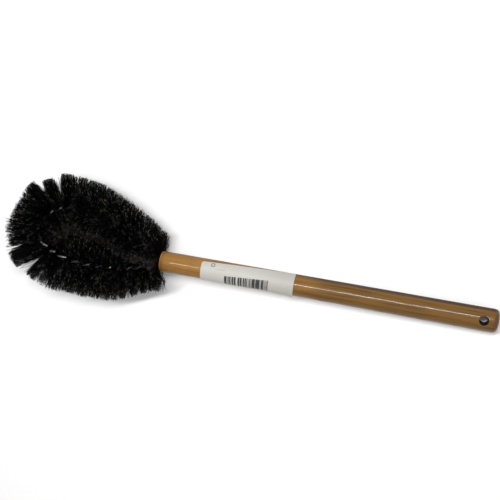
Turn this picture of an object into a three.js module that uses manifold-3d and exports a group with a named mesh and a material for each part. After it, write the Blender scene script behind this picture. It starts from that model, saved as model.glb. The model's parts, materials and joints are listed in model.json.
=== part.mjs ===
// Looped hand brush: two steel wires are twisted together round a row of black bristle, the twisted
// length is bent into a pear-shaped loop, and both of its legs are glued into the end of a wooden handle.
// A paper sticker lies on the handle, and a hole near the butt hangs the brush up.
//
// The brush is modelled along its handle: x = 0 is the handle's head end, +X runs to the butt, and the
// loop lies in the XY plane. It is then tipped and lifted onto the surface that it lies on, at Z = 0.
import * as THREE from "three";
import { ConvexGeometry } from "three/addons/geometries/ConvexGeometry.js";
import { mergeVertices } from "three/addons/utils/BufferGeometryUtils.js";
import Module from "manifold-3d";

// Driving dimensions, in millimetres.
const handleLength = 274;
const neckRadius = 8.5; // of the handle at the head end
const buttRadius = 9.4; // of the handle where its rounded butt starts
const neckRound = 1.2; // rounding of the head end's edge
const buttRound = 4.4; // rounding of the butt's edge
const hangHoleRadius = 3.6;
const hangHoleFromButt = 11.4;
const boreRadius = 4.8; // blind bore that takes both legs of the loop
const boreDepth = 34;
const handleSides = 48;
const boreSides = 32;
const glueStart = 1; // of the glue in the bore, from the handle's head end
const glueEnd = 27;

const strandRadius = 0.8; // each of the two core wires
const strandGap = 0.4; // between the two wires, where the bristle is held
const legDepth = 30; // of each leg in the bore
const legOffset = 1.95; // of each leg from the handle's axis

const fanCount = 31; // one fan of bristle for each half turn of the twist
const sideBristle = 26.5; // bristle length from the core along the loop's sides
const tipBristle = 28; // and round the loop's far end
const neckBristle = 23; // and beside the handle
const upBristle = 24.5; // and square to the loop, above and below it
const innerHeight = 0.86; // bristle height over the seam, as a share of the height over the core
const seamRoom = 1.6; // from the seam line to each fan's inner end
const arcSteps = 8; // in the round of each fan's cut

const labelStart = 35.8; // of the sticker, from the handle's head end
const labelLength = 77;
const labelWidth = 26.5; // round the handle
const labelThickness = 0.3;
const labelSkew = 0.075; // of the sticker's long side against the handle, in radians
const labelTurn = THREE.MathUtils.degToRad(-16.5); // from the top of the handle to the sticker's middle

const clearance = 0.3; // between pieces that touch

// The places that shape the loop: where it is widest on each side, and its far end.
const lowSide = new THREE.Vector3(-60, -14.6, 0);
const farEnd = new THREE.Vector3(-110, 8, 0);
const highSide = new THREE.Vector3(-81, 30.3, 0);
// The bristle of the two sides meets over this line, from the neck to the middle of the far end.
const seamStart = new THREE.Vector3(-0.6, 0, 0);
const seamEnd = new THREE.Vector3(-82, 9, 0);

const wireSides = 6;
const pairRadius = 2 * strandRadius + strandGap / 2; // outside of the two twisted wires
const up = new THREE.Vector3(0, 0, 1);
const wasm = await Module();
wasm.setup();

const finish = {
  wood: new THREE.MeshStandardMaterial({ color: 0x96703f, roughness: 0.3, metalness: 0 }),
  wire: new THREE.MeshStandardMaterial({ color: 0xb4b6b4, roughness: 0.35, metalness: 1 }),
  bristle: new THREE.MeshStandardMaterial({ color: 0x0b0b0c, roughness: 0.5, metalness: 0 }),
  paper: new THREE.MeshStandardMaterial({ color: 0xcfcec6, roughness: 0.7, metalness: 0 }),
  glue: new THREE.MeshStandardMaterial({ color: 0xbfa267, roughness: 0.4, metalness: 0 }),
};

function piece(name, geometry, material) {
  const mesh = new THREE.Mesh(geometry, material);
  mesh.name = name;
  return mesh;
}

// A closed three.js geometry as a manifold-3d solid, and back.
function toSolid(geometry) {
  const bare = geometry.clone();
  bare.deleteAttribute("normal");
  bare.deleteAttribute("uv");
  const merged = mergeVertices(bare, 1e-3);
  const vertProperties = merged.attributes.position.array;
  const triVerts = new Uint32Array(merged.index.array);
  return new wasm.Manifold(new wasm.Mesh({ numProp: 3, vertProperties, triVerts }));
}

function toGeometry(solid) {
  const mesh = solid.getMesh();
  const geometry = new THREE.BufferGeometry();
  geometry.setAttribute("position", new THREE.BufferAttribute(mesh.vertProperties, 3));
  geometry.setIndex(new THREE.BufferAttribute(mesh.triVerts, 1));
  geometry.computeVertexNormals();
  return geometry;
}

function roundSection(radius, sides) {
  const corner = (_, i) => {
    const turn = (2 * Math.PI * i) / sides;
    return new THREE.Vector2(radius * Math.cos(turn), radius * Math.sin(turn));
  };
  return new THREE.Shape(Array.from({ length: sides }, corner));
}

function tubeAlong(curve, radius, sides, steps) {
  return new THREE.ExtrudeGeometry(roundSection(radius, sides), { extrudePath: curve, steps });
}

// A cylinder on the X axis, from x = start to x = end.
function rodAlongX(radius, start, end, sides) {
  const rod = new THREE.CylinderGeometry(radius, radius, end - start, sides);
  return rod.rotateZ(-Math.PI / 2).translate((start + end) / 2, 0, 0);
}

// ---- The core: a loop of two twisted wires ----

// The loop's centreline: in from the bore, round the low side, the far end and the high side, and back.
function loopCurve() {
  const mouthLow = new THREE.Vector3(0, -legOffset, 0);
  const mouthHigh = new THREE.Vector3(0, legOffset, 0);
  const off = (point, x, y) => new THREE.Vector3(point.x + x, point.y + y, 0);
  const path = new THREE.CurvePath();
  path.add(new THREE.LineCurve3(off(mouthLow, legDepth, 0), mouthLow));
  const bend = (from, fromPull, toPull, to) => {
    path.add(new THREE.CubicBezierCurve3(from, off(from, ...fromPull), off(to, ...toPull), to));
  };
  bend(mouthLow, [-7, -0.4], [40, 0], lowSide);
  bend(lowSide, [-27, 0], [0, -13], farEnd);
  bend(farEnd, [0, 12], [-16, 0], highSide);
  bend(highSide, [30, 0], [-8, 0.5], mouthHigh);
  path.add(new THREE.LineCurve3(mouthHigh, off(mouthHigh, legDepth, 0)));
  return path;
}

const loop = loopCurve();
const loopLength = loop.getLength();
const bareStart = legDepth + clearance; // where the loop leaves the bore
const bareLength = loopLength - 2 * bareStart;
const twistPitch = (2 * bareLength) / fanCount; // one full turn of the twist

// One core wire: it winds round the loop's centreline, half a turn from its partner.
class Strand extends THREE.Curve {
  constructor(startTurn) {
    super();
    this.startTurn = startTurn;
  }
  getPoint(t, target = new THREE.Vector3()) {
    const outward = new THREE.Vector3().crossVectors(up, loop.getTangentAt(t));
    const turn = this.startTurn - (2 * Math.PI * (t * loopLength - bareStart)) / twistPitch;
    const reach = strandRadius + strandGap / 2;
    return target
      .copy(loop.getPointAt(t))
      .addScaledVector(outward, reach * Math.cos(turn))
      .addScaledVector(up, reach * Math.sin(turn));
  }
}

function coreWire(name, startTurn) {
  const stepsPerTurn = 8;
  const steps = Math.round((stepsPerTurn * loopLength) / twistPitch);
  return piece(name, tubeAlong(new Strand(startTurn), strandRadius, wireSides, steps), finish.wire);
}

// ---- The bristle: a fan for each half turn of the twist ----

// Bristle length outwards from the core, at a share 0 to 1 of the way round the bare loop.
function bristleLength(share) {
  const fromNeck = Math.min(share, 1 - share);
  const neck = THREE.MathUtils.smoothstep(fromNeck, 0, 0.16);
  const tip = THREE.MathUtils.smoothstep(fromNeck, 0.3, 0.48);
  return neckBristle + (sideBristle - neckBristle) * neck + (tipBristle - sideBristle) * tip;
}

// The upright cut through the bristle at a share of the way round: from the seam line, over and under
// the core, to the bristle's outer tips. Moved along the loop by shift.
function bristleCut(share, shift) {
  const along = (bareStart + share * bareLength) / loopLength;
  const core = loop.getPointAt(along);
  const seamLine = new THREE.Line3(seamStart, seamEnd);
  const seam = seamLine.closestPointToPoint(core, true, new THREE.Vector3());
  const outward = core.clone().sub(seam).normalize();
  const at = (start, out, high) => start.clone().addScaledVector(outward, out).addScaledVector(up, high);
  const reach = bristleLength(share);
  const height = Math.min(reach, upBristle);
  const points = [at(seam, seamRoom, -innerHeight * height), at(seam, seamRoom, innerHeight * height)];
  for (let i = 0; i <= arcSteps; i++) {
    const turn = Math.PI * (i / arcSteps - 0.5);
    points.push(at(core, reach * Math.cos(turn), height * Math.sin(turn)));
  }
  const sideways = new THREE.Vector3().crossVectors(up, outward);
  return points.map((point) => point.addScaledVector(sideways, shift));
}

function bristleFans(handleSolid) {
  const tunnelSides = 8;
  const tunnelSteps = 90;
  const tunnel = toSolid(tubeAlong(loop, pairRadius + clearance, tunnelSides, tunnelSteps));
  const name = (i) => "bristle_fan_" + String(i + 1).padStart(2, "0");
  return Array.from({ length: fanCount }, (_, i) => {
    const near = bristleCut(i / fanCount, -clearance / 2);
    const far = bristleCut((i + 1) / fanCount, clearance / 2);
    const whole = toSolid(new ConvexGeometry([...near, ...far]));
    const fan = whole.subtract(tunnel).subtract(handleSolid);
    return piece(name(i), toGeometry(fan), finish.bristle);
  });
}

// ---- The handle, the glue in its bore and the sticker ----

function handleRadiusAt(x) {
  return THREE.MathUtils.lerp(neckRadius, buttRadius, x / handleLength);
}

// The handle's turned shape, grown by grow, with both edges rounded.
function handleBlank(grow) {
  const end = handleLength + grow;
  const neck = neckRadius + grow;
  const butt = buttRadius + grow;
  const corner = (x, y, radius, from, to, steps) =>
    new THREE.EllipseCurve(x, y, radius, radius, from, to, true).getPoints(steps);
  const outline = [
    new THREE.Vector2(-grow, 0),
    ...corner(neckRound - grow, neck - neckRound, neckRound, Math.PI, Math.PI / 2, 3),
    ...corner(end - buttRound, butt - buttRound, buttRound, Math.PI / 2, 0, 6),
    new THREE.Vector2(end, 0),
  ];
  // A lathe turns round Y, so the outline's x becomes its height, from the butt down to the neck.
  const profile = outline.map((point) => new THREE.Vector2(point.y, point.x));
  return new THREE.LatheGeometry(profile, handleSides).rotateZ(-Math.PI / 2);
}

function handle() {
  const bore = rodAlongX(boreRadius, -1, boreDepth, boreSides);
  const hangHole = new THREE.CylinderGeometry(hangHoleRadius, hangHoleRadius, 4 * buttRadius, boreSides);
  hangHole.rotateX(Math.PI / 2).translate(handleLength - hangHoleFromButt, 0, 0);
  const drilled = toSolid(handleBlank(0)).subtract(toSolid(bore)).subtract(toSolid(hangHole));
  return piece("handle", toGeometry(drilled), finish.wood);
}

// The glue fills the bore's mouth round both legs of the loop.
function gluePlug() {
  const blank = toSolid(rodAlongX(boreRadius - clearance, glueStart, glueEnd, boreSides));
  const legSides = 12;
  const leg = (side) =>
    rodAlongX(pairRadius + clearance, 0, legDepth, legSides).translate(0, side * legOffset, 0);
  const plug = blank.subtract(toSolid(leg(-1))).subtract(toSolid(leg(1)));
  return piece("glue_plug", toGeometry(plug), finish.glue);
}

// The sticker: a flat sheet bent round the tapered handle.
function sticker() {
  const stepsAlong = 10;
  const stepsRound = 16;
  const sheet = new THREE.BoxGeometry(labelLength, labelWidth, labelThickness, stepsAlong, stepsRound);
  const corner = sheet.attributes.position;
  const middle = labelStart + labelLength / 2;
  for (let i = 0; i < corner.count; i++) {
    const x = corner.getX(i);
    const radius = handleRadiusAt(middle + x) + clearance + labelThickness / 2 + corner.getZ(i);
    const turn = (corner.getY(i) + labelSkew * x) / radius + labelTurn;
    corner.setXYZ(i, middle + x, radius * Math.sin(turn), radius * Math.cos(turn));
  }
  return piece("label", sheet, finish.paper);
}

// ---- Assembly ----

function buildBrush() {
  const brush = new THREE.Group();
  brush.add(handle(), gluePlug(), sticker());
  brush.add(coreWire("core_wire_a", 0), coreWire("core_wire_b", Math.PI));
  const fans = new THREE.Group();
  fans.add(...bristleFans(toSolid(handleBlank(clearance))));
  brush.add(fans);
  return { brush, fans, stick: brush.getObjectByName("handle") };
}

function lowestPoint(object) {
  return new THREE.Box3().setFromObject(object, true).min.z;
}

// The brush tips about Y until the butt and the bristle both touch the surface.
function tipOntoSurface({ brush, fans, stick }) {
  let low = 0;
  let high = THREE.MathUtils.degToRad(10);
  for (let i = 0; i < 24; i++) {
    brush.rotation.y = (low + high) / 2;
    brush.updateMatrixWorld(true);
    if (lowestPoint(stick) > lowestPoint(fans)) low = brush.rotation.y;
    else high = brush.rotation.y;
  }
}

const made = buildBrush();
tipOntoSurface(made);
const extent = new THREE.Box3().setFromObject(made.brush, true);
const middle = extent.getCenter(new THREE.Vector3());
made.brush.position.set(-middle.x, -middle.y, -extent.min.z);

const lying = new THREE.Group();
lying.add(made.brush);

export default lying;
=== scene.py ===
# %% [markdown]
# # A looped hand brush
# The brush is two steel wires twisted round a row of black nylon bristle. The twisted length is bent into
# a pear-shaped loop, and both legs of the loop are glued into the end of a lacquered wooden handle.
# A plain frame gives every part its size and place. This lesson dresses that frame: it lays thousands of
# single bristles along the loop, turns a smooth handle, sticks a paper label on it, and makes the
# finishes. Lengths are in metres, in the frame's own coordinates.

# %% Load the frame
import json
import math

import bmesh
import bpy
import numpy as np
from mathutils import Matrix, Vector


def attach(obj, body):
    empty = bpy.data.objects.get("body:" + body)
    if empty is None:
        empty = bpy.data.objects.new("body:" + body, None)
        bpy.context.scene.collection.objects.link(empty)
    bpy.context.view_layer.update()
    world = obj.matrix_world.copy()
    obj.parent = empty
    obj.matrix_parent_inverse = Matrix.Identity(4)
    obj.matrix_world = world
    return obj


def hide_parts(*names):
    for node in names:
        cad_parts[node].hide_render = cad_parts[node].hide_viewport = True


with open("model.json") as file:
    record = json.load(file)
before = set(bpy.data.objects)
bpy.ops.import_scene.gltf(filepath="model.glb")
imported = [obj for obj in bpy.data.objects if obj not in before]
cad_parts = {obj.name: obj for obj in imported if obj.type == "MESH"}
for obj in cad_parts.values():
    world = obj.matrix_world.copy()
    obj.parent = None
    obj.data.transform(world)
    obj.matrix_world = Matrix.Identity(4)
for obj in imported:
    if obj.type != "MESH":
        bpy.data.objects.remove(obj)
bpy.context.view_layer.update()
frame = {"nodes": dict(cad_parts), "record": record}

# %% [markdown]
# ## The brush's own axes
# The brush lies tipped, because its butt and its bristle both touch the table. It is easier to build it
# along its own axes and to tip it afterwards: `along` runs from the head to the butt, `across` is level,
# and `upward` is square to the loop. The frame's record holds the middle of the butt and the direction
# that it faces, and the handle's length leads from there back to the handle's head end, which is zero.

# %% Axes from the butt's mount
mm = 0.001
handle_length = 274 * mm
mount = frame["record"]["mounts"][0]
along = Vector(mount["axis"]).normalized()
across = Vector((0, 1, 0))
upward = along.cross(across)
neck = Vector(mount["pos_m"]) - handle_length * along

to_row = Matrix((along, across, upward)).transposed().to_4x4()
to_row.translation = neck
tip_degrees = math.degrees(along.angle(Vector((1, 0, 0))))
print("the brush is tipped by", round(tip_degrees, 2), "degrees")


def to_row_points(points):
    """Points along the brush's own axes, in millimetres, as points of the frame, in metres."""
    turn = np.array(to_row.to_3x3())
    return np.asarray(points, dtype=float) * mm @ turn.T + np.array(neck)


def to_row_directions(directions):
    return np.asarray(directions, dtype=float) @ np.array(to_row.to_3x3()).T


# %% [markdown]
# ## Camera, table and light
# The camera looks down on the brush from above the handle, leaning a few degrees along and across it, so
# that both ends of the round handle show as curves. A strip light hangs beside the brush and draws one
# thin bright line along the lacquer, as a lamp does in a workshop. An even white surround lights the rest.

# %% Camera
aim = Vector((72.2, 21.7, 0)) * mm
camera_distance = 800 * mm
lean_along = math.radians(11)
lean_across = math.radians(8)
camera_roll = math.radians(8.4)

back = Vector((math.tan(lean_along), math.tan(lean_across), 1)).normalized()
level_up = Vector((0, 1, 0)) - back.y * back
level_up.normalize()
level_right = level_up.cross(back)
camera_up = level_up * math.cos(camera_roll) - level_right * math.sin(camera_roll)
camera_right = camera_up.cross(back)


def new_object(name, data):
    """An object in the scene that shows this data."""
    made = bpy.data.objects.new(name, data)
    bpy.context.scene.collection.objects.link(made)
    return made


camera_data = bpy.data.cameras.new("camera")
camera_data.sensor_width = 36
camera_data.lens = 71.34
camera = new_object("camera", camera_data)
camera_frame = Matrix((camera_right, camera_up, back)).transposed().to_4x4()
camera_frame.translation = aim + camera_distance * back
camera.matrix_world = to_row @ camera_frame
bpy.context.scene.camera = camera
bpy.context.scene.view_settings.view_transform = "Standard"
print("camera at", [round(value, 3) for value in camera.matrix_world.translation])

# %% Strip light and surround
surround_strength = 0.66
strip_power = 6.7
strip_from = Vector((-215, 90.6, 790)) * mm
strip_to = Vector((317, 351, 790)) * mm
strip_width = 50 * mm

strip_data = bpy.data.lights.new("strip", "AREA")
strip_data.shape = "RECTANGLE"
strip_data.size = (strip_to - strip_from).length
strip_data.size_y = strip_width
strip_data.energy = strip_power
strip = new_object("strip", strip_data)
strip_middle = (strip_from + strip_to) / 2
strip_x = (strip_to - strip_from).normalized()
strip_z = (strip_middle - strip_middle.dot(strip_x) * strip_x).normalized()
strip_frame = Matrix((strip_x, strip_z.cross(strip_x), strip_z)).transposed().to_4x4()
strip_frame.translation = strip_middle
strip.matrix_world = to_row @ strip_frame

world = bpy.data.worlds.new("surround")
world.use_nodes = True
world.node_tree.nodes["Background"].inputs["Strength"].default_value = surround_strength
world.node_tree.nodes["Background"].inputs["Color"].default_value = (1, 1, 1, 1)
bpy.context.scene.world = world
print("strip light", round(strip_data.size, 3), "m long")

# %% Table
floor_mesh = bpy.data.meshes.new("floor")
floor_half = 3.0
floor_mesh.from_pydata(
    [(x * floor_half, y * floor_half, 0) for x, y in ((-1, -1), (1, -1), (1, 1), (-1, 1))], [], [(0, 1, 2, 3)]
)
floor_object = new_object("floor", floor_mesh)
floor_material = bpy.data.materials.new("pale_floor")
floor_material.use_nodes = True
floor_shader = floor_material.node_tree.nodes["Principled BSDF"]
floor_shader.inputs["Base Color"].default_value = (0.80, 0.80, 0.80, 1)
floor_shader.inputs["Roughness"].default_value = 0.9
floor_mesh.materials.append(floor_material)
print("table", 2 * floor_half, "m wide")

# %% [markdown]
# ## Node trees from formulas
# Both the shapes and the finishes come from node trees. Joining nodes one by one in code is long to read,
# so two small helpers do it: `add_node` adds a node and fills its inputs, and `Field` is a value that
# changes over a shape, whose `+`, `-`, `*` and `/` add the math nodes. A formula then reads as a formula.

# %% Helpers for node trees
def feed(tree, socket, value):
    """Link a value into a socket, or set it there if it is a plain number, colour or name."""
    if isinstance(value, Field):
        value = value.socket
    if isinstance(value, bpy.types.Node):
        value = value.outputs[0]
    if isinstance(value, bpy.types.NodeSocket):
        tree.links.new(value, socket)
    elif socket.type == "VECTOR" and isinstance(value, (int, float)):
        socket.default_value = (value, value, value)
    else:
        socket.default_value = value


def add_node(tree, kind, inputs=None, **settings):
    """A new node, its inputs given by name or by place."""
    node = tree.nodes.new(kind)
    for name, value in settings.items():
        setattr(node, name, value)
    for name, value in (inputs or {}).items():
        feed(tree, node.inputs[name], value)
    return node


class Field:
    """A number or a vector that changes over a shape."""

    def __init__(self, socket):
        self.socket = socket.outputs[0] if isinstance(socket, bpy.types.Node) else socket
        self.tree = self.socket.id_data

    def is_vector(self):
        return self.socket.type in {"VECTOR", "RGBA"}

    def __add__(self, other):
        return calculate("ADD", self, other)

    def __radd__(self, other):
        return calculate("ADD", other, self)

    def __sub__(self, other):
        return calculate("SUBTRACT", self, other)

    def __rsub__(self, other):
        return calculate("SUBTRACT", other, self)

    def __mul__(self, other):
        return calculate("MULTIPLY", self, other)

    def __rmul__(self, other):
        return calculate("MULTIPLY", other, self)

    def __truediv__(self, other):
        return calculate("DIVIDE", self, other)

    def __rtruediv__(self, other):
        return calculate("DIVIDE", other, self)


def calculate(operation, *values):
    """One math node over the values, a vector one if any of them is a vector."""
    fields = [value for value in values if isinstance(value, Field)]
    vector = any(field.is_vector() for field in fields)
    kind = "ShaderNodeVectorMath" if vector else "ShaderNodeMath"
    node = fields[0].tree.nodes.new(kind)
    node.operation = operation
    for socket, value in zip(node.inputs, values):
        feed(node.id_data, socket, value)
    return Field(node.outputs["Value" if operation in {"DOT_PRODUCT", "LENGTH"} else 0])


def blend_over(value, low, high, to_low=0.0, to_high=1.0):
    """A smooth step from to_low to to_high while value goes from low to high."""
    limits = {1: low, 2: high, 3: to_low, 4: to_high}
    node = add_node(value.tree, "ShaderNodeMapRange", {0: value, **limits}, interpolation_type="SMOOTHSTEP")
    return Field(node.outputs[0])


def between(value, low, high, soft=0.06):
    """One between low and high, and nothing outside, with soft edges."""
    return blend_over(value, low - soft, low + soft) * blend_over(value, high - soft, high + soft, 1.0, 0.0)


def join_vector(x, y, z):
    tree = next(value.tree for value in (x, y, z) if isinstance(value, Field))
    return Field(add_node(tree, "ShaderNodeCombineXYZ", {0: x, 1: y, 2: z}))


def split_vector(vector):
    node = add_node(vector.tree, "ShaderNodeSeparateXYZ", {0: vector})
    return [Field(output) for output in node.outputs]


print("helpers ready")

# %% [markdown]
# ## The line of the core
# The bent core is the path that everything in the head follows. It leaves the handle, swings out to the
# low side, round the far end and back along the high side. Four Bezier bends give it, measured off in
# equal steps of length so that the twist stays even.

# %% The loop's centreline
leg_depth = 30
leg_offset = 1.95
clearance = 0.3
low_side = (-60, -14.6)
far_end = (-110, 8)
high_side = (-81, 30.3)
bends = (
    ((0, -leg_offset), (-7, -0.4), (40, 0), low_side),
    (low_side, (-27, 0), (0, -13), far_end),
    (far_end, (0, 12), (-16, 0), high_side),
    (high_side, (30, 0), (-8, 0.5), (0, leg_offset)),
)


def bend_points(start, start_pull, end_pull, end, steps=400):
    t = np.linspace(0, 1, steps, endpoint=False)[:, None]
    start, end = np.array(start, float), np.array(end, float)
    one, two = start + start_pull, end + end_pull
    return (1 - t) ** 3 * start + 3 * (1 - t) ** 2 * t * one + 3 * (1 - t) * t**2 * two + t**3 * end


low_leg = [(leg_depth, -leg_offset)]
high_leg = [(0, leg_offset), (leg_depth, leg_offset)]
core_line = np.concatenate([low_leg, *(bend_points(*bend) for bend in bends), high_leg])
core_steps = np.linalg.norm(np.diff(core_line, axis=0), axis=1)
core_places = np.concatenate([[0], np.cumsum(core_steps)])
loop_length = core_places[-1]
bare_start = leg_depth + clearance
bare_length = loop_length - 2 * bare_start


def core_at(place):
    """The core's middle, and the direction outwards from it, at a length along the loop."""
    look = 0.2
    point, ahead, behind = (
        np.array([np.interp(place + step, core_places, core_line[:, axis]) for axis in (0, 1)])
        for step in (0, look, -look)
    )
    run = ahead - behind
    run /= np.linalg.norm(run, axis=0)
    flat = np.zeros_like(place)
    return np.stack([*point, flat], axis=-1), np.stack([-run[1], run[0], flat], axis=-1)


print("core", round(loop_length, 1), "mm long,", round(bare_length, 1), "mm of it bare")

# %% [markdown]
# ## Core wires
# Each core wire is a plain round wire that winds round the core's line, half a turn from its partner. It
# could be swept in mesh code, but Geometry Nodes do it from three sizes: the line's points move out by
# the wire's offset at a turn that grows steadily along the loop, and a circle is swept along them.

# %% Geometry Nodes: a wire that winds round a line
fan_count = 31
half_twist = bare_length / fan_count
wire_radius = 0.8
wire_gap = 0.4


# Hand bending stretches the twist in places. These places, counted in fans, come where the twist has
# made so many half turns, and the fans part most clearly there.
turned_places = (0, 1.48, 2.46, 3.67, 7.6, 8.95, 10.3, 11.8, 12.68, 14.03, 18.12, 19.1, fan_count)
half_turns = (1, 2.5, 3.5, 4.5, 8, 9, 10, 11, 12, 13, 18, 19, fan_count)


def half_turns_at(place):
    """How many half turns the twist has made at a place, going on evenly inside the handle."""
    inside = np.clip(place, 0, fan_count)
    return np.interp(inside, turned_places, half_turns) + place - inside


def new_shape_tree(name, inputs):
    """An empty geometry tree with named inputs, and its group input's sockets."""
    tree = bpy.data.node_groups.new(name, "GeometryNodeTree")
    tree.interface.new_socket("Geometry", in_out="INPUT", socket_type="NodeSocketGeometry")
    for label, kind in inputs.items():
        tree.interface.new_socket(label, in_out="INPUT", socket_type="NodeSocket" + kind)
    tree.interface.new_socket("Geometry", in_out="OUTPUT", socket_type="NodeSocketGeometry")
    given = add_node(tree, "NodeGroupInput").outputs
    return tree, {socket.name: Field(socket) for socket in given if socket.name}


def named(tree, name, kind="FLOAT"):
    return Field(add_node(tree, "GeometryNodeInputNamedAttribute", {"Name": name}, data_type=kind))


def close_shape_tree(tree, curves, sides, radius, scale, material):
    """Sweep a round section along the curves, and finish with real, smooth, painted faces."""
    ring = add_node(tree, "GeometryNodeCurvePrimitiveCircle", {"Resolution": sides, "Radius": radius})
    sweep_inputs = {"Curve": curves, "Profile Curve": ring, "Scale": scale, "Fill Caps": True}
    sweep = add_node(tree, "GeometryNodeCurveToMesh", sweep_inputs)
    smooth = add_node(tree, "GeometryNodeSetShadeSmooth", {"Geometry": sweep})
    real = add_node(tree, "GeometryNodeRealizeInstances", {"Geometry": smooth})
    painted = add_node(tree, "GeometryNodeSetMaterial", {"Geometry": real, "Material": material})
    add_node(tree, "NodeGroupOutput", {"Geometry": painted})


def wound_wire_tree():
    wire_sides = 10
    inputs = {
        "Start turn": "Float", "Offset": "Float", "Radius": "Float", "Up": "Vector", "Material": "Material",
    }
    tree, given = new_shape_tree("wound wire", inputs)
    turn = named(tree, "turn") + given["Start turn"]
    outward = named(tree, "outward", "FLOAT_VECTOR")
    offset = (outward * calculate("COSINE", turn) + given["Up"] * calculate("SINE", turn)) * given["Offset"]
    curve = add_node(tree, "GeometryNodeMeshToCurve", {"Mesh": given["Geometry"]})
    wound = add_node(tree, "GeometryNodeSetPosition", {"Geometry": curve, "Offset": offset})
    close_shape_tree(tree, wound, wire_sides, given["Radius"], 1.0, given["Material"])
    return tree


def run_tree(name, start_mesh, tree, values):
    """Evaluate a tree on a mesh with its inputs set, and keep the result as a plain piece."""
    piece = new_object(name, start_mesh)
    modifier = piece.modifiers.new("shape", "NODES")
    modifier.node_group = tree
    identifiers = {item.name: item.identifier for item in tree.interface.items_tree if item.in_out == "INPUT"}
    for label, value in values.items():
        modifier[identifiers[label]] = value
    shown = piece.evaluated_get(bpy.context.evaluated_depsgraph_get())
    mesh = bpy.data.meshes.new_from_object(shown)
    piece.modifiers.clear()
    piece.data = mesh
    mesh.name = name
    bpy.data.meshes.remove(start_mesh)
    return piece


def guide_line(name, points, **facts):
    """A line of joined points in the frame, with a number or direction kept on each point."""
    mesh = bpy.data.meshes.new(name)
    mesh.from_pydata(to_row_points(points).tolist(), [(i, i + 1) for i in range(len(points) - 1)], [])
    for fact, values in facts.items():
        values = np.asarray(values, dtype=float)
        if values.ndim == 2:
            mesh.attributes.new(fact, "FLOAT_VECTOR", "POINT").data.foreach_set("vector", values.ravel())
        else:
            mesh.attributes.new(fact, "FLOAT", "POINT").data.foreach_set("value", values)
    return mesh


wire_tree = wound_wire_tree()
print("wire tree:", len(wire_tree.nodes), "nodes")

# %% [markdown]
# ## Bristle
# In a twisted brush the bristles lie across between the two wires before they are twisted, so each
# bristle is held at its middle and its two ends point opposite ways. Along the core their direction turns
# with the wires: each half turn of the twist makes one fan that sweeps from straight down, through the
# plane of the loop, to straight up. There are too many to place by hand, and the hair system can't be
# exported, so Geometry Nodes lay them: points along the core are copied into knots, each knot is moved
# out along its bristle's path, and a three-sided tube is swept through the knots of each bristle.

# %% Geometry Nodes: one fan of bristle
knots = 6
bristle_sides = 3
tip_thinning = 0.25
upright_scatter = 0.2
root_slack = 0.4 * mm
tip_bow = 0.25
bow_to_middle = 4.0
side_grip = 0.55
room_slack = 3.5 * mm
handle_room = 9.0 * mm
handle_flare = 3.0
nearest_gap, widest_gap = 0.2 * mm, 2.5 * mm
table_gap = 0.3 * mm


def keep(tree, geometry, name, value):
    """Keep a number on every point of the geometry, under a name."""
    inputs = {"Geometry": geometry, "Name": name, "Value": value}
    return add_node(tree, "GeometryNodeStoreNamedAttribute", inputs, data_type="FLOAT")


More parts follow.
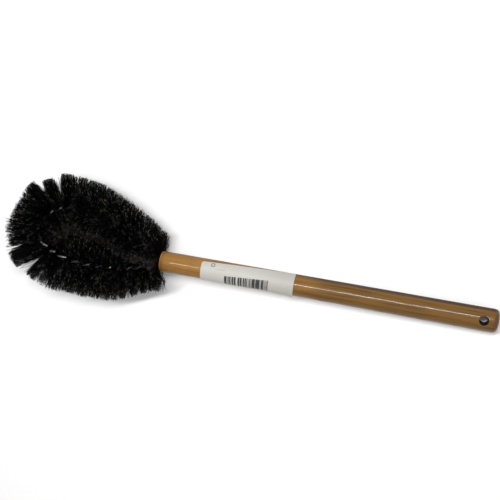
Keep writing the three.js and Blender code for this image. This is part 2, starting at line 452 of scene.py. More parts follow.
def bristle_fan_tree():
    inputs = {
        "Bristles": "Int", "Seed": "Int", "Thickness": "Float", "Bow": "Float",
        "Uneven length": "Float", "Tuft size": "Float", "Tufting": "Float", "Lift": "Float",
        "Up": "Vector", "Along": "Vector", "Neck": "Vector", "Material": "Material",
    }
    tree, given = new_shape_tree("bristle fan", inputs)
    line = add_node(tree, "GeometryNodeMeshToCurve", {"Mesh": given["Geometry"]})
    roots = add_node(tree, "GeometryNodeCurveToPoints", {"Curve": line, "Count": given["Bristles"]})
    index = add_node(tree, "GeometryNodeInputIndex")
    numbered = keep(tree, roots, "bristle", index)
    copies = {"Geometry": numbered, "Amount": knots}
    copied = add_node(tree, "GeometryNodeDuplicateElements", copies, domain="POINT")
    share = Field(copied.outputs["Duplicate Index"]) / (knots - 1)
    bristle = named(tree, "bristle")

    def chance(salt, low=0.0, high=1.0):
        """A random number for each bristle."""
        drawn = add_node(
            tree, "FunctionNodeRandomValue",
            {2: low, 3: high, "ID": bristle, "Seed": given["Seed"] + salt}, data_type="FLOAT",
        )
        return Field(drawn.outputs[1])

    up, run = given["Up"], named(tree, "run", "FLOAT_VECTOR")
    outward = named(tree, "outward", "FLOAT_VECTOR")
    reach, height, room = named(tree, "reach"), named(tree, "height"), named(tree, "room")

    # Which way the bristle points: with the twist, to one side or the other, and a little astray.
    astray = chance(1, -1.0) + chance(2, -1.0) + chance(3, -1.0)
    side = calculate("ROUND", chance(4))
    upright = calculate("LESS_THAN", chance(13), named(tree, "upright"))
    twist = named(tree, "twist")
    scatter = named(tree, "scatter") + upright * upright_scatter
    turn = twist + (math.pi / 2 - twist) * upright + side * math.pi + astray * scatter
    out_part, up_part = calculate("COSINE", turn), calculate("SINE", turn)
    uneven = chance(5)
    inside = blend_over(out_part, -0.3, 0.1, 1.0, 0.0)
    length = (1.0 - uneven * uneven * given["Uneven length"]) * (1.0 + inside * named(tree, "inner_growth"))
    straight = (outward * (out_part * reach) + up * (up_part * height)) * length
    spread = (chance(6, -1.0) + chance(7, -1.0)) * named(tree, "lean") * reach
    pulled = named(tree, "bias") * (1.0 - out_part * out_part * side_grip)
    pulled = pulled - named(tree, "shear") * up_part * height
    leaning = run * (spread + pulled)
    # Where the loop's two sides meet, the bristle has no room and bends up or down.
    too_long = 0.0 - out_part * reach * length - room - chance(14, -room_slack, room_slack)
    crowded = calculate("MAXIMUM", too_long, 0.0)
    bent = outward * crowded + up * calculate("SIGN", up_part) * crowded * given["Lift"]
    bow = given["Bow"] * named(tree, "bow")
    bowed = (run * chance(8, -1.0) + up * chance(9, -1.0, 0.4) + outward * chance(10, -1.0)) * bow
    late = share * share
    root = Field(add_node(tree, "GeometryNodeInputPosition"))
    root = root + run * chance(11, -root_slack, root_slack)
    tip = root + straight + leaning + bent + bowed * tip_bow
    tuft_inputs = {"Vector": tip, "Scale": 1.0 / given["Tuft size"]}
    tuft = add_node(tree, "ShaderNodeTexVoronoi", tuft_inputs, voronoi_dimensions="3D")
    gathered = (Field(tuft.outputs["Position"]) - tip) * given["Tufting"]
    place = root + (straight + leaning) * share + (bent + gathered + bowed * tip_bow) * late
    place = place + bowed * (share - late) * bow_to_middle

    # The handle's end is in the way of the nearest bristle, and so is the table.
    from_neck = place - given["Neck"]
    along_handle = calculate("DOT_PRODUCT", from_neck, given["Along"])
    beside = calculate("ABSOLUTE", split_vector(from_neck)[1])
    limit = calculate("MAXIMUM", beside - handle_room, 0.0) * handle_flare
    limit = limit - chance(15, nearest_gap, widest_gap)
    place = place - given["Along"] * calculate("MAXIMUM", along_handle - limit, 0.0)
    x, y, z = split_vector(place)
    place = join_vector(x, y, calculate("MAXIMUM", z, table_gap))

    laid = add_node(tree, "GeometryNodeSetPosition", {"Geometry": copied, "Position": place})
    for name, value in (("tint", chance(12)), ("share", share)):
        laid = keep(tree, laid, name, value)
    curve_inputs = {"Points": laid, "Curve Group ID": bristle, "Weight": share}
    curves = add_node(tree, "GeometryNodePointsToCurves", curve_inputs)
    taper = 1.0 - named(tree, "share") * tip_thinning
    close_shape_tree(tree, curves, bristle_sides, given["Thickness"] / 2, taper, given["Material"])
    return tree


bristle_tree = bristle_fan_tree()
print("bristle tree:", len(bristle_tree.nodes), "nodes")

# %% [markdown]
# ## Shared effects of the finishes
# Dust and grime lie on every part of a used brush, and every finish has a fine unevenness that breaks up
# its gloss. Each is made once as a node group with its own inputs, and every finish places it with its
# own values. The groups take the place on the surface in millimetres along the brush's own axes, which a
# Mapping node makes from the Object coordinates, so the grain runs along the handle although it is tipped.

# %% Node groups: grime and fine unevenness
def new_effect(name, inputs, output):
    tree = bpy.data.node_groups.new(name, "ShaderNodeTree")
    for label, kind in inputs.items():
        tree.interface.new_socket(label, in_out="INPUT", socket_type="NodeSocket" + kind)
    tree.interface.new_socket(output, in_out="OUTPUT", socket_type="NodeSocketFloat")
    given = add_node(tree, "NodeGroupInput").outputs
    return tree, {socket.name: Field(socket) for socket in given if socket.name}


def noise(place, scale=1.0, detail=2.0, roughness=0.5):
    inputs = {"Vector": place, "Scale": scale, "Detail": detail, "Roughness": roughness}
    return Field(add_node(place.tree, "ShaderNodeTexNoise", inputs))


def grime_effect():
    tree, given = new_effect("grime", {"Place": "Vector", "Patch size": "Float", "Cover": "Float"}, "Mask")
    place = given["Place"] / given["Patch size"]
    patches = noise(place, 1.0, 3.0, 0.6)
    specks = noise(place, 9.0, 1.0)
    ground = patches * 0.8 + specks * 0.2
    edge = 0.75 - given["Cover"] * 0.5
    add_node(tree, "NodeGroupOutput", {0: blend_over(ground, edge - 0.08, edge + 0.08)})
    return tree


def unevenness_effect():
    inputs = {"Place": "Vector", "Grain size": "Float", "Stretch": "Float"}
    tree, given = new_effect("fine unevenness", inputs, "Height")
    x, y, z = split_vector(given["Place"] / given["Grain size"])
    drawn_out = join_vector(x / given["Stretch"], y, z)
    add_node(tree, "NodeGroupOutput", {0: noise(drawn_out, 1.0, 3.0, 0.55)})
    return tree


grime_group = grime_effect()
unevenness_group = unevenness_effect()
print("effects:", [group.name for group in (grime_group, unevenness_group)])

# %% Helpers for finishes
def new_finish(name):
    material = bpy.data.materials.new(name)
    material.use_nodes = True
    return material, material.node_tree, material.node_tree.nodes["Principled BSDF"]


def brush_place(tree):
    """The place on the brush, in millimetres along its own axes."""
    coordinates = add_node(tree, "ShaderNodeTexCoord")
    inputs = {
        "Vector": coordinates.outputs["Object"], "Location": neck,
        "Rotation": to_row.to_euler(), "Scale": (mm, mm, mm),
    }
    return Field(add_node(tree, "ShaderNodeMapping", inputs, vector_type="TEXTURE"))


def use_effect(tree, group, **inputs):
    node = tree.nodes.new("ShaderNodeGroup")
    node.node_tree = group
    for name, value in inputs.items():
        feed(tree, node.inputs[name.replace("_", " ")], value)
    return Field(node)


def mix_colour(share, one, two):
    tree = next(value.tree for value in (share, one, two) if isinstance(value, Field))
    node = tree.nodes.new("ShaderNodeMix")
    node.data_type = "RGBA"
    sockets = {socket.identifier: socket for socket in node.inputs}
    feed(tree, sockets["Factor_Float"], share)
    feed(tree, sockets["A_Color"], one if isinstance(one, Field) else (*one, 1))
    feed(tree, sockets["B_Color"], two if isinstance(two, Field) else (*two, 1))
    return Field(next(socket for socket in node.outputs if socket.identifier == "Result_Color"))


def add_bump(tree, shader, height, distance):
    bump = add_node(tree, "ShaderNodeBump", {"Height": height, "Distance": distance, "Strength": 1.0})
    feed(tree, shader.inputs["Normal"], bump)


# %% [markdown]
# ## Black bristle
# Black nylon is nearly as dark as soot, but each bristle is smooth and catches a thin glint. The colour
# and gloss differ a little from bristle to bristle, dust greys some tufts, and the trimmed tips are paler.
# A few bristles also carry a painted glint in their colour, on some bristles the pale tip is partly a
# painted glint, and a painted highlight greys the bristle along the ridge where the loop's two sides meet.

# %% Finish: bristle
soot, worn_black = (0.0002, 0.0002, 0.0003), (0.0008, 0.0007, 0.0007)
painted_glint_grey = (0.060, 0.058, 0.055)
cut_tip_and_glint_grey = (0.19, 0.185, 0.17)
dust_and_highlight_grey = (0.030, 0.028, 0.025)
ridge_start, ridge_slope = (-75.5, 15.9), -0.157


def bristle_finish():
    material, tree, shader = new_finish("black_nylon_bristle")
    tint = Field(add_node(tree, "ShaderNodeAttribute", attribute_name="tint").outputs["Fac"])
    share = Field(add_node(tree, "ShaderNodeAttribute", attribute_name="share").outputs["Fac"])
    place = brush_place(tree)
    dust = use_effect(tree, grime_group, Place=place, Patch_size=9.0, Cover=0.42)
    black = mix_colour(tint, soot, worn_black)
    # Painted glint: a few bristles, chosen by their tint, get a lighter colour that stands in for glints.
    painted_glint_share = calculate("POWER", tint, 20.0)
    black = mix_colour(painted_glint_share, black, painted_glint_grey)
    # The trimmed tips of some bristles are paler: partly the cut nylon, and partly a painted glint.
    cut_tip_and_glint = blend_over(share, 0.9, 1.0) * blend_over(tint, 0.8, 0.9, 0.05, 1.0)
    tipped = mix_colour(cut_tip_and_glint, black, cut_tip_and_glint_grey)
    x, y, z = split_vector(place)
    ridge = y - (x - ridge_start[0]) * ridge_slope - ridge_start[1]
    # Painted highlight: along the ridge where the loop's two sides meet, the bristle is greyed like tips
    # catching the light. Dust greys other tufts with the same grey.
    painted_ridge_highlight = between(ridge, -2.6, 0.8, 0.9) * between(x, -80.0, -28.0, 8.0) * blend_over(z, 12.0, 18.0)
    painted_ridge_highlight = painted_ridge_highlight * blend_over(tint, 0.25, 0.8)
    dust_and_ridge_highlight = calculate("MAXIMUM", dust * 0.06, painted_ridge_highlight * 0.8)
    feed(tree, shader.inputs["Base Color"], mix_colour(dust_and_ridge_highlight, tipped, dust_and_highlight_grey))
    feed(tree, shader.inputs["Roughness"], 0.22 + tint * 0.2 + dust * 0.12)
    shader.inputs["Specular IOR Level"].default_value = 0.03
    grain = use_effect(tree, unevenness_group, Place=place, Grain_size=0.5, Stretch=1.0)
    add_bump(tree, shader, grain, 0.00003)
    return material


bristle_material = bristle_finish()

# %% [markdown]
# ## Galvanised wire
# The core wires are galvanised: a pale grey metal, duller where the zinc has weathered, with grime in
# the twist. Drawing the wire through its die leaves fine marks, so its gloss is uneven.

# %% Finish: wire
def wire_finish():
    material, tree, shader = new_finish("galvanised_wire")
    place = brush_place(tree)
    weathered = use_effect(tree, grime_group, Place=place, Patch_size=5.0, Cover=0.5)
    drawn = use_effect(tree, unevenness_group, Place=place, Grain_size=0.4, Stretch=3.0)
    feed(tree, shader.inputs["Base Color"], mix_colour(weathered, (0.62, 0.63, 0.62), (0.30, 0.30, 0.29)))
    feed(tree, shader.inputs["Metallic"], 1.0 - weathered * 0.35)
    feed(tree, shader.inputs["Roughness"], 0.22 + drawn * 0.16 + weathered * 0.2)
    add_bump(tree, shader, drawn, 0.00005)
    return material


wire_material = wire_finish()

# %% [markdown]
# ## Lacquered wood
# The handle is turned from a straight-grained pale wood and dipped in amber lacquer. The grain is made in
# three sizes: growth rings cut lengthwise give broad bands, fibre gives fine streaks, and pores give
# short dark flecks. Lacquer soaks into the cut ends, which darkens the rounded butt and a line
# behind the head end. The wood is darkened towards the butt, along both sides, and on its side towards
# minus y near the butt. That darkening is painted shade, laid over the grain: the light falling off towards
# the butt, and the dark edges of the round handle as seen from above. It shows as a dark stripe when the
# handle is seen from its side. The hang hole's wall is painted black, as painted shade inside the hole.
# A clear coat over it all gives the sharp gloss.

# %% Finish: wood
light_wood, dark_wood = (0.290, 0.142, 0.030), (0.175, 0.079, 0.014)
pale_shaded_butt, deep_shaded_butt = (0.128, 0.063, 0.012), (0.050, 0.021, 0.003)
low_shade_brown, edge_shade_brown, end_brown = (0.085, 0.040, 0.008), (0.028, 0.011, 0.002), (0.075, 0.030, 0.011)
pale_rim, rim_line, bare_wood = (0.40, 0.22, 0.07), (0.13, 0.058, 0.018), (0.17, 0.085, 0.030)
pore_brown, bore_brown, hole_shade_black = (0.10, 0.047, 0.014), (0.12, 0.06, 0.02), (0.002, 0.0015, 0.001)
wood_grime = (0.09, 0.055, 0.03)
hole_from_neck = 262.6


def wood_finish():
    material, tree, shader = new_finish("lacquered_wood")
    place = brush_place(tree)
    x, y, z = split_vector(place)
    drift = noise(join_vector(x / 90.0, y / 14.0, z / 14.0), 1.0, 1.0) * 7.0
    across_rings = y * 0.35 + z * 0.94 + drift
    band = noise(join_vector(across_rings * 0.55, 0.0, 0.0), 1.0, 2.0, 0.6)
    streak = noise(join_vector(x / 26.0, y * 1.1, z * 1.1), 1.0, 3.0, 0.6)
    cloud = noise(join_vector(x / 45.0, y / 12.0, z / 12.0), 1.0, 1.0)
    pore = noise(join_vector(x / 2.6, y * 3.0, z * 3.0), 1.0, 1.0)
    pore = blend_over(pore, 0.64, 0.72)
    figure = band * 0.5 + streak * 0.35 + cloud * 0.3
    depth = blend_over(figure, 0.40, 0.78)

    wood = mix_colour(depth, light_wood, dark_wood)
    wood = mix_colour(pore * 0.4, wood, pore_brown)
    # Painted shade: the wood is darkened towards the butt, standing in for the light falling off along the
    # handle.
    painted_butt_shade = blend_over(x, 20.0, 190.0, 0.0, 0.85)
    shaded_butt_wood = mix_colour(blend_over(figure, 0.50, 0.68), pale_shaded_butt, deep_shaded_butt)
    wood = mix_colour(painted_butt_shade, wood, shaded_butt_wood)
    # Painted shade: the side towards minus y is darker, more so towards the butt.
    shaded = blend_over(y * 0.9 - z * 0.44, -9.5, -4.0, 0.4, 0.0) * blend_over(x, 110.0, 150.0, 0.4, 1.0)
    wood = mix_colour(shaded, wood, low_shade_brown)
    # Painted shade along both sides: the handle's edges as seen from above are darkened, and their coat is
    # thinned.
    painted_edge_shade = blend_over(calculate("ABSOLUTE", y + 0.4), 7.6, 9.2)
    wood = mix_colour(painted_edge_shade * blend_over(x, 60.0, 150.0, 0.2, 0.95), wood, edge_shade_brown)
    head_rim = blend_over(x, 0.6, 1.5, 1.0, 0.0)
    wood = mix_colour(head_rim * 0.5, wood, pale_rim)
    head_line = blend_over(x, 1.4, 2.0) * blend_over(x, 2.4, 3.4, 1.0, 0.0)
    wood = mix_colour(head_line * 0.5, wood, rim_line)
    off_axis = calculate("LENGTH", join_vector(0.0, y, z))
    butt_edge = blend_over(x, 268.5, 273.0)
    wood = mix_colour(butt_edge * 0.85, wood, end_brown)
    bare_end = blend_over(x, 273.7, 274.0) * blend_over(off_axis, 4.4, 5.4, 1.0, 0.0)
    wood = mix_colour(bare_end * 0.5, wood, bare_wood)
    hole = calculate("LENGTH", join_vector(x - hole_from_neck, y, 0.0))
    # Painted shade: the hang hole's wall is near black, with no coat.
    painted_hole_shade = blend_over(hole, 3.61, 3.75, 1.0, 0.0)
    wood = mix_colour(painted_hole_shade, wood, hole_shade_black)
    in_bore = blend_over(off_axis, 4.9, 5.2, 1.0, 0.0) * blend_over(x, 40.0, 42.0, 1.0, 0.0)
    wood = mix_colour(in_bore * 0.6, wood, bore_brown)

    grime = use_effect(tree, grime_group, Place=place, Patch_size=16.0, Cover=0.4)
    wood = mix_colour(grime * 0.16, wood, wood_grime)
    feed(tree, shader.inputs["Base Color"], wood)
    feed(tree, shader.inputs["Roughness"], 0.36 + streak * 0.1 + grime * 0.12)
    feed(tree, shader.inputs["Coat Weight"], 0.72 - grime * 0.25 - painted_hole_shade - painted_edge_shade * 0.7)
    shader.inputs["Coat Roughness"].default_value = 0.07
    shader.inputs["Coat IOR"].default_value = 1.28
    shader.inputs["Specular IOR Level"].default_value = 0.12
    ripple = use_effect(tree, unevenness_group, Place=place, Grain_size=1.4, Stretch=12.0)
    add_bump(tree, shader, ripple - pore * 0.25, 0.000012)
    return material


wood_material = wood_finish()

# %% [markdown]
# ## Glue and paper
# The glue that holds the wire is a hard amber resin, seen only in the bore's mouth. The sticker is white
# paper, printed with plain bars and dashes that say nothing. The bars stand in equal steps, each step
# black or white by chance, and the print reads its place from the paper's own flat coordinates.

# %% Finish: glue
def glue_finish():
    material, tree, shader = new_finish("amber_glue")
    place = brush_place(tree)
    cloud = noise(place, 0.6, 3.0)
    grime = use_effect(tree, grime_group, Place=place, Patch_size=3.0, Cover=0.5)
    amber = mix_colour(cloud, (0.33, 0.19, 0.06), (0.52, 0.36, 0.15))
    feed(tree, shader.inputs["Base Color"], mix_colour(grime * 0.4, amber, (0.06, 0.045, 0.03)))
    feed(tree, shader.inputs["Roughness"], 0.28 + grime * 0.3)
    ripple = use_effect(tree, unevenness_group, Place=place, Grain_size=1.2, Stretch=1.0)
    add_bump(tree, shader, ripple, 0.0002)
    return material


# %% Finish: paper
bar_step, bar_pattern, bar_share = 0.387, 60.0, 0.26
bar_from, bar_to, bar_foot, bar_head = -18.5, 18.27, -7.4, 2.45
dash_step, dash_share, dash_ink = 0.5, 0.35, 0.35
dash_from, dash_foot, dash_head = -31.5, 6.85, 7.45
light_paper, dark_paper = (0.435, 0.43, 0.396), (0.365, 0.36, 0.332)
shaded_paper, paper_grime = (0.27, 0.262, 0.235), (0.38, 0.35, 0.29)
ink_black = (0.010, 0.010, 0.012)


def by_chance(tree, step, share):
    """Ink on a share of the steps, drawn by chance from each step's number."""
    drawn = add_node(tree, "ShaderNodeTexWhiteNoise", {"W": step}, noise_dimensions="1D")
    return calculate("GREATER_THAN", Field(drawn.outputs["Value"]), share)


def paper_finish():
    material, tree, shader = new_finish("printed_paper")
    flat = Field(add_node(tree, "ShaderNodeAttribute", attribute_name="flat").outputs["Vector"])
    x, y, _ = split_vector(flat)
    bars = by_chance(tree, calculate("FLOOR", x / bar_step) + bar_pattern, bar_share)
    bars = bars * between(x, bar_from, bar_to) * between(y, bar_foot, bar_head)
    dashes = by_chance(tree, calculate("FLOOR", x / dash_step), dash_share)
    dashes = dashes * between(x, dash_from, bar_from) * between(y, dash_foot, dash_head) * dash_ink
    square = between(x, -30.4, -27.2) * between(y, 9.1, 12.3)
    square = square * (1.0 - between(x, -29.7, -27.9) * between(y, 9.8, 11.6))
    ink = calculate("MAXIMUM", calculate("MAXIMUM", bars, dashes), square * 0.7)

    place = brush_place(tree)
    fibre = use_effect(tree, unevenness_group, Place=place, Grain_size=0.35, Stretch=1.6)
    grime = use_effect(tree, grime_group, Place=flat, Patch_size=11.0, Cover=0.46)
    rubbed = noise(flat, 2.2, 3.0, 0.7)
    paper = mix_colour(fibre, dark_paper, light_paper)
    # Painted shade: the paper darkens towards its end nearer the butt, as the light falls off along the
    # handle.
    paper = mix_colour(blend_over(x, -10.0, 38.0, 0.0, 0.45), paper, shaded_paper)
    paper = mix_colour(grime * 0.3, paper, paper_grime)
    worn_ink = ink * blend_over(rubbed, 0.25, 0.5, 0.6, 1.0)
    feed(tree, shader.inputs["Base Color"], mix_colour(worn_ink, paper, ink_black))
    feed(tree, shader.inputs["Roughness"], 0.5 + fibre * 0.15 - ink * 0.1)
    add_bump(tree, shader, fibre, 0.00004)
    return material


glue_material = glue_finish()
paper_material = paper_finish()
print("finishes:", len(bpy.data.materials))

# %% [markdown]
# ## Laying the two wires
# One guide line runs the whole length of the core, with the turn of the twist kept on each point. The
# twist is tied to the fans: one half turn for each, so that one wire lies on top in each fan's middle.

# %% Both wires
steps_per_turn = 24
wire_steps = round(steps_per_turn * loop_length / (2 * half_twist))
wire_places = np.linspace(0, loop_length, wire_steps + 1)
wire_points, wire_outward = core_at(wire_places)
wire_turn = -math.pi * half_turns_at((wire_places - bare_start) / half_twist)


def stand_in(piece, node_name):
    """The piece rides on the brush's one body, in place of a node of the frame."""
    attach(piece, "root")
    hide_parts(node_name)


wires = (("wire_one", "core_wire_a", 0.0), ("wire_two", "core_wire_b", math.pi))
for wire_name, node_name, start_turn in wires:
    guide = guide_line("wire_guide", wire_points, turn=wire_turn, outward=to_row_directions(wire_outward))
    values = {
        "Start turn": start_turn, "Offset": (wire_radius + wire_gap / 2) * mm, "Radius": wire_radius * mm,
        "Up": tuple(upward), "Material": wire_material,
    }
    wire = run_tree(wire_name, guide, wire_tree, values)
    stand_in(wire, node_name)
    print(wire_name, len(wire.data.polygons), "faces")

# %% [markdown]
# ## Laying the bristle
# Each fan gets a short guide line with what its bristle needs to know: which way is outwards, how long
# the bristle is, how much room it has on the inside, and how far the twist has turned. Round the far
# end the fans are tidy and stand apart, and along the sides the bristle is more ruffled.

# %% All the fans
seam_start = np.array((-0.6, 0, 0))
seam_end = np.array((-82, 9, 0))


def smooth_step(value, low, high):
    share = np.clip((value - low) / (high - low), 0, 1)
    return share * share * (3 - 2 * share)


def bristle_length(share):
    from_neck = np.minimum(share, 1 - share)
    return 23 + 3.5 * smooth_step(from_neck, 0, 0.16) + 1.5 * smooth_step(from_neck, 0.3, 0.48)


# Places round the loop are counted in fans from the handle's low side. At these the bristle parts.
partings = (1.48, 2.46, 3.67, 12.68, 14.03, 18.12, 19.1)
parting_widths = (0.015, 0.025, 0.025, 0.08, 0.06, 0.05, 0.12)
# How far the bristle strays from the twist, in radians, between such places: it lies tidy where the
# fans stand apart or show the wire, and ruffled elsewhere.
stray_places = (
    0, 1.0, 1.4, 3.9, 4.6, 7.6, 8.4, 11.2, 11.45, 11.95, 12.05, 13.7, 14.1, 17.0, 17.6, 19.5, 19.9, 31,
)
stray_angles = (
    0.5, 0.4, 0.26, 0.26, 0.5, 0.45, 0.26, 0.26, 0.6, 0.5, 0.16, 0.16, 0.45, 0.4, 0.2, 0.2, 0.6, 0.65,
)
# How far it bows between its root and its tip, as a share of the bow's size.
bow_places = (0, 11.9, 12.0, 12.45, 12.55, 12.85, 12.95, 13.1, 13.7, 18.6, 18.9, 19.3, 19.6, 31)
bow_shares = (1, 1, 0.5, 0.5, 1.5, 1.5, 1, 0.6, 1, 1, 0.35, 0.35, 1, 1)
# The share of it that stands upright wherever the twist is, and so hides the wire.
upright_places = (
    0, 1.0, 1.4, 3.9, 4.6, 7.6, 8.4, 12.6, 12.64, 12.72, 12.76, 13.95, 13.98, 14.08, 14.15,
    18.0, 18.06, 18.18, 18.24, 18.98, 19.02, 19.18, 19.22, 31,
)
upright_shares = (
    0.15, 0.15, 0, 0, 0.12, 0.12, 0, 0, 0.7, 0.7, 0, 0, 0.7, 0.7, 0.18,
    0.18, 0.8, 0.8, 0.18, 0.18, 0.85, 0.85, 0.18, 0.15,
)
# How far its tips stray along the loop, as a share of their reach.
spread_places = (0, 11.4, 12.4, 13.7, 14.1, 17.0, 17.6, 20.0, 20.8, 29, 31)
spread_shares = (0.14, 0.14, 0.08, 0.08, 0.2, 0.19, 0.07, 0.07, 0.1, 0.1, 0.07)
# How far it leans along the loop as it rises, as a share of its height: each fan stands askew.
shear_places = (0, 11.2, 12.2, 17.2, 17.8, 20.0, 21.0, 31)
shears = (-0.3, -0.3, 0, 0, 0.4, 0.4, 0, 0)
# Some fans were trimmed longer or shorter than the rest.
trim_places = (
    0, 2, 4, 6, 7.5, 8.5, 9.5, 10.5, 11, 11.8, 12.6, 12.7, 14, 14.1,
    14.5, 16.5, 17, 17.3, 17.9, 18.05, 18.15, 19.1, 19.15, 19.7, 20.0, 23, 26, 31,
)
trims = (
    0.98, 1.0, 0.99, 1.02, 0.98, 1.02, 1.01, 1.0, 1.1, 1.15, 1.06, 1.16, 1.2, 0.98,
    0.95, 0.91, 0.94, 1.05, 1.11, 1.08, 0.99, 0.99, 1.09, 1.07, 1.03, 1.02, 0.97, 0.96,
)
# One narrow tuft at the far end is longer than its neighbours.
tuft_place, tuft_growth, tuft_width = 15.0, 0.11, 0.1
# How far each parting's pull reaches along the loop, and where the fans stand apart most sharply.
parting_reach, tidy_reach, tidy_share = 0.35, 0.45, 0.85
sharp_from, sharp_to, fan_sharpness = 11.3, 20.5, 2.4
steps_in_fan = 49
highest_reach = 24.5
side_change = 15


def outward_at(place):
    """The core, the direction outwards from the seam, and the room inside, at places counted in fans."""
    points, _ = core_at(bare_start + place / fan_count * bare_length)
    seam = seam_end - seam_start
    nearest = np.clip((points - seam_start) @ seam / (seam @ seam), 0, 1)[:, None] * seam + seam_start
    outward = points - nearest
    room = np.linalg.norm(outward, axis=1)
    return points, outward / room[:, None], room


def fan_guide(number):
    """The guide line of one fan, with what its bristle needs to know."""
    place = np.linspace(number, number + 1, steps_in_fan)
    turned = place.copy()
    free = np.ones_like(place)
    for parting, width in zip(partings, parting_widths):
        away = np.abs(place - parting)
        turned += width * np.where(place < parting, -1, 1) * np.exp(-away / parting_reach)
        free -= tidy_share * np.exp(-((away / tidy_reach) ** 2))
    points, _, room = outward_at(place)
    outward = outward_at(turned)[1]
    run = np.stack([-outward[:, 1], outward[:, 0], outward[:, 2]], axis=1)
    tuft = tuft_growth * np.exp(-(((place - tuft_place) / tuft_width) ** 2))
    trim = np.interp(place, trim_places, trims) + tuft
    reach = bristle_length(place / fan_count) * trim
    turned_by = half_turns_at(place)
    from_lobe = turned_by - np.floor(turned_by) - 0.5
    sharpness = np.where((sharp_from < place) & (place < sharp_to), fan_sharpness, 1.0)
    twist = -math.pi / 2 * np.sign(from_lobe) * np.abs(2 * from_lobe) ** sharpness
    lean = np.interp(place, spread_places, spread_shares) * np.clip(free, 0.1, 1)
    from_handle = np.minimum(place, fan_count - place)
    toward_handle = np.where(place < fan_count / 2, 5.5, 4.0) * (1 - smooth_step(from_handle, 0, 2.2))
    # Between the two sides, the low side's bristle lies over the middle line, and the high side's yields.
    on_low_side = place < side_change
    middle_part = smooth_step(from_handle, 3, 6) * smooth_step(-from_handle, -13, -10)
    inner_growth = 0.1 + np.where(on_low_side, 0.08, -0.06) * middle_part
    room = room + np.where(on_low_side, 6.0, -7.0) * middle_part
    return guide_line(
        "fan_guide", points, outward=to_row_directions(outward), run=to_row_directions(run),
        twist=twist, reach=reach * mm, height=np.minimum(reach, highest_reach) * mm, room=room * mm,
        scatter=np.interp(place, stray_places, stray_angles), lean=lean, bias=toward_handle * mm,
        upright=np.interp(place, upright_places, upright_shares),
        bow=np.interp(place, bow_places, bow_shares),
        shear=np.interp(place, shear_places, shears), inner_growth=inner_growth,
    )


bristles_in_fan, bristles_in_full_fan = 800, 1100
full_fans = {0, *range(12, 20)}
seed_step = 100
for number in range(fan_count):
    values = {
        "Bristles": bristles_in_full_fan if number in full_fans else bristles_in_fan,
        "Seed": seed_step * number, "Thickness": 0.4 * mm, "Bow": 2.0 * mm, "Uneven length": 0.05,
        "Tuft size": 4.5 * mm, "Tufting": 0.18, "Lift": 0.9, "Up": tuple(upward),
        "Along": tuple(along), "Neck": tuple(neck), "Material": bristle_material,
    }
    fan = run_tree(f"bristles_{number + 1:02d}", fan_guide(number), bristle_tree, values)
    stand_in(fan, f"bristle_fan_{number + 1:02d}")
    if number == 0:
        print("one fan:", len(fan.data.polygons), "faces,", [a.name for a in fan.data.attributes])

# %% [markdown]
# ## Handle
# The handle is a turned stick: a slow taper, a small rounding at the head end, a round butt, a blind bore
# for the wire, and a hole straight through near the butt. A lathe shape is quick, but cutting the hole
# with a boolean leaves a ragged, hard rim. So the turned grid leaves a square window on both sides,
# rings of faces fill each window in to a round rim, the rim is rounded, and a wall joins both rims.

# %% Outline of the turned handle
neck_radius, butt_radius = 8.5, 9.4
neck_round, butt_round = 1.2, 4.4
bore_radius, bore_depth = 4.8, 34
hole_radius, hole_rim = 3.6, 0.7
handle_mm = handle_length / mm
hole_x = handle_mm - 11.4
window_half = 6.2
sides = 96
window_cells = 22
window_rings = (0.22, 0.44, 0.64, 0.82, 0.93, 1.0)
rim_slopes = (22.5, 45, 67.5, 90)


def taper_radius(x):
    share = (x - neck_round) / (handle_mm - butt_round - neck_round)
    return neck_radius + (butt_radius - neck_radius) * share


def rounded(x, y, radius, start, end, steps):
    turns = np.radians(np.linspace(start, end, steps))
    return [(x + radius * math.cos(turn), y + radius * math.sin(turn)) for turn in turns]


body_x = [*np.linspace(neck_round, hole_x - window_half, 33)[1:-1]]
window_x = [*np.linspace(hole_x - window_half, hole_x + window_half, window_cells + 1)]
outline = [
    (bore_depth, bore_radius), (bore_depth / 2, bore_radius), (0.5, bore_radius),
    *rounded(0.4, bore_radius + 0.4, 0.4, 270, 180, 4),
    (0, 6.4),
    *rounded(neck_round, neck_radius - neck_round, neck_round, 180, 90, 7),
    *((x, taper_radius(x)) for x in body_x),
    *((x, taper_radius(x)) for x in window_x),
    *rounded(handle_mm - butt_round, butt_radius - butt_round, butt_round, 90, 0, 13),
    (handle_mm, 2.5),
]
first_window_row = next(i for i, (x, _) in enumerate(outline) if abs(x - window_x[0]) < 1e-9)
print("outline points:", len(outline))

# %% Turned grid with a window above and below, and the hole
def band_of_faces(ring, other):
    """A closed band of quads between two rings of points."""
    return [(a, b, d, c) for a, b, c, d in zip(ring, ring[1:] + ring[:1], other, other[1:] + other[:1])]


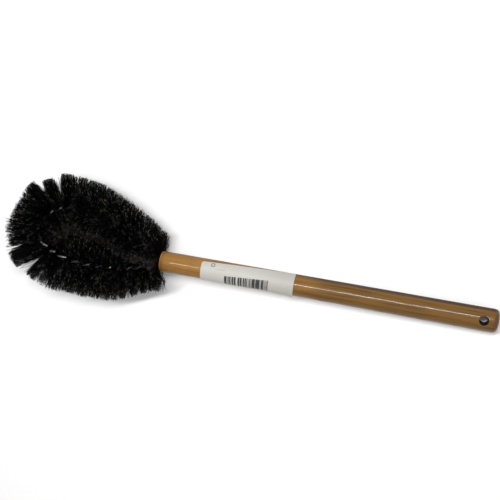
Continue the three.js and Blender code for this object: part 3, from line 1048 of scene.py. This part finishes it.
def handle_mesh():
    points, faces = [], []
    grid = {}
    for row, (x, radius) in enumerate(outline):
        for column in range(sides):
            grid[row, column] = len(points)
            turn = 2 * math.pi * column / sides
            points.append((x, radius * math.cos(turn), radius * math.sin(turn)))
    last_window_row = first_window_row + window_cells
    first_column = sides // 4 - window_cells // 2
    top = range(first_column, first_column + window_cells)
    bottom = [(sides - 1 - column) % sides for column in top]
    for row in range(len(outline) - 1):
        in_rows = first_window_row <= row < last_window_row
        for column in range(sides):
            if in_rows and (column in top or column in bottom):
                continue
            after = (column + 1) % sides
            faces.append((grid[row, column], grid[row, after], grid[row + 1, after], grid[row + 1, column]))
    for row, x in ((0, bore_depth), (len(outline) - 1, handle_mm)):
        middle = len(points)
        points.append((x, 0, 0))
        faces += [(grid[row, c], grid[row, (c + 1) % sides], middle) for c in range(sides)]

    # The window's edge, as places on the grid, all the way round.
    columns = range(first_column, first_column + window_cells)
    rows = range(first_window_row, last_window_row)
    edge = [(first_window_row, c) for c in columns]
    edge += [(r, columns[-1] + 1) for r in rows]
    edge += [(last_window_row, c + 1) for c in reversed(columns)]
    edge += [(r + 1, first_column) for r in reversed(rows)]
    walls = []
    for up_side in (1, -1):
        ring = [grid[r, c if up_side == 1 else (sides - c) % sides] for r, c in edge]
        places = [(points[i][0] - hole_x, points[i][1]) for i in ring]
        turns = [math.atan2(y, x) for x, y in places]
        rim = hole_radius + hole_rim

        def surface(x, y):
            return up_side * math.sqrt(taper_radius(hole_x + x) ** 2 - y * y)

        levels = []
        for share in window_rings:
            flat = [
                (x + (rim * math.cos(t) - x) * share, y + (rim * math.sin(t) - y) * share)
                for (x, y), t in zip(places, turns)
            ]
            levels.append([(hole_x + x, y, surface(x, y)) for x, y in flat])
        rim_height = [surface(rim * math.cos(t), rim * math.sin(t)) for t in turns]
        for slope in rim_slopes:
            radius = hole_radius + hole_rim * (1 - math.sin(math.radians(slope)))
            sunk = hole_rim * (1 - math.cos(math.radians(slope)))
            levels.append([
                (hole_x + radius * math.cos(t), radius * math.sin(t), z - up_side * sunk)
                for t, z in zip(turns, rim_height)
            ])
        for level in levels:
            inner = list(range(len(points), len(points) + len(level)))
            points.extend(level)
            faces += band_of_faces(ring, inner)
            ring = inner
        walls.append(ring)
    faces += band_of_faces(*walls)

    mesh = bpy.data.meshes.new("turned_handle")
    mesh.from_pydata(to_row_points(points).tolist(), [], faces)
    return mesh


def close_mesh(mesh, sharp_degrees):
    """Drop unused points, turn the faces outwards and shade them smooth up to an angle."""
    work = bmesh.new()
    work.from_mesh(mesh)
    bmesh.ops.delete(work, geom=[v for v in work.verts if not v.link_faces], context="VERTS")
    bmesh.ops.remove_doubles(work, verts=work.verts, dist=0.000001)
    bmesh.ops.recalc_face_normals(work, faces=work.faces)
    open_edges = sum(1 for e in work.edges if not e.is_manifold)
    work.to_mesh(mesh)
    work.free()
    mesh.shade_smooth()
    mesh.set_sharp_from_angle(angle=math.radians(sharp_degrees))
    return open_edges


handle_shape = handle_mesh()
open_edges = close_mesh(handle_shape, 35)
handle_shape.materials.append(wood_material)
stand_in(new_object("turned_handle", handle_shape), "handle")
print("handle:", len(handle_shape.polygons), "faces,", open_edges, "open edges")

# %% Glue in the bore
glue = frame["nodes"]["glue_plug"]
glue.data.materials.clear()
glue.data.materials.append(glue_material)

# %% [markdown]
# ## Sticker
# The sticker is a sheet of paper with rounded corners, wrapped a little askew round the handle. Its grid
# is made flat first and bent afterwards, so that every point keeps its flat coordinates for the print.
# The sheet is a little proud of the wood, and one corner has begun to peel.

# %% Bent paper sheet
label_length, label_width = 77, 26.5
label_middle = 35.8 + label_length / 2
label_corner = 1.8
label_turn = math.radians(-16.5)
label_skew = 0.075
paper_low, paper_high = 0.12, 0.42
peel_height, peel_reach = 0.8, 9
wave_height, wave_reach = 0.05, 2


def label_mesh():
    half_length, half_width = label_length / 2, label_width / 2
    ends = [0, 0.1, 0.3, 0.6, 0.95, 1.35, label_corner]
    columns = [-half_length + e for e in ends]
    columns += [*np.linspace(-half_length + label_corner, half_length - label_corner, 47)[1:-1]]
    columns += [half_length - e for e in reversed(ends)]
    rows = np.linspace(-1, 1, 33)
    points, flat, faces = [], [], []
    for low in (True, False):
        for x in columns:
            into = min(label_corner, half_length - abs(x))
            cut = label_corner - math.sqrt(label_corner**2 - (label_corner - into) ** 2)
            for row in rows:
                y = row * (half_width - cut)
                to_corner = math.hypot(half_length - x, y + half_width)
                peel = peel_height * (1 - smooth_step(to_corner, 0, peel_reach)) ** 2
                at_edge = 1 - smooth_step(half_width - abs(y), 0, wave_reach)
                wave = wave_height * at_edge * (1 + math.sin(x * 0.6))
                lift = (paper_low if low else paper_high) + peel + wave
                radius = taper_radius(label_middle + x) + lift
                turn = (y + label_skew * x) / radius + label_turn
                points.append((label_middle + x, radius * math.sin(turn), radius * math.cos(turn)))
                flat.append((x, y, 0))
    across_count, count = len(rows), len(columns) * len(rows)
    for c in range(len(columns) - 1):
        for r in range(across_count - 1):
            corner = c * across_count + r
            quad = (corner, corner + across_count, corner + across_count + 1, corner + 1)
            faces += [quad, tuple(i + count for i in reversed(quad))]
    last = (len(columns) - 1) * across_count
    rim = [*range(across_count), *(c * across_count + across_count - 1 for c in range(1, len(columns)))]
    rim += [*(last + r for r in reversed(range(across_count - 1)))]
    rim += [*(c * across_count for c in reversed(range(1, len(columns) - 1)))]
    faces += [(a, b, b + count, a + count) for a, b in zip(rim, rim[1:] + rim[:1])]
    mesh = bpy.data.meshes.new("sticker")
    mesh.from_pydata(to_row_points(points).tolist(), [], faces)
    flat_places = mesh.attributes.new("flat", "FLOAT_VECTOR", "POINT")
    flat_places.data.foreach_set("vector", np.array(flat, float).ravel())
    return mesh


label_shape = label_mesh()
open_edges = close_mesh(label_shape, 40)
label_shape.materials.append(paper_material)
stand_in(new_object("sticker", label_shape), "label")
print("sticker:", len(label_shape.polygons), "faces,", open_edges, "open edges")
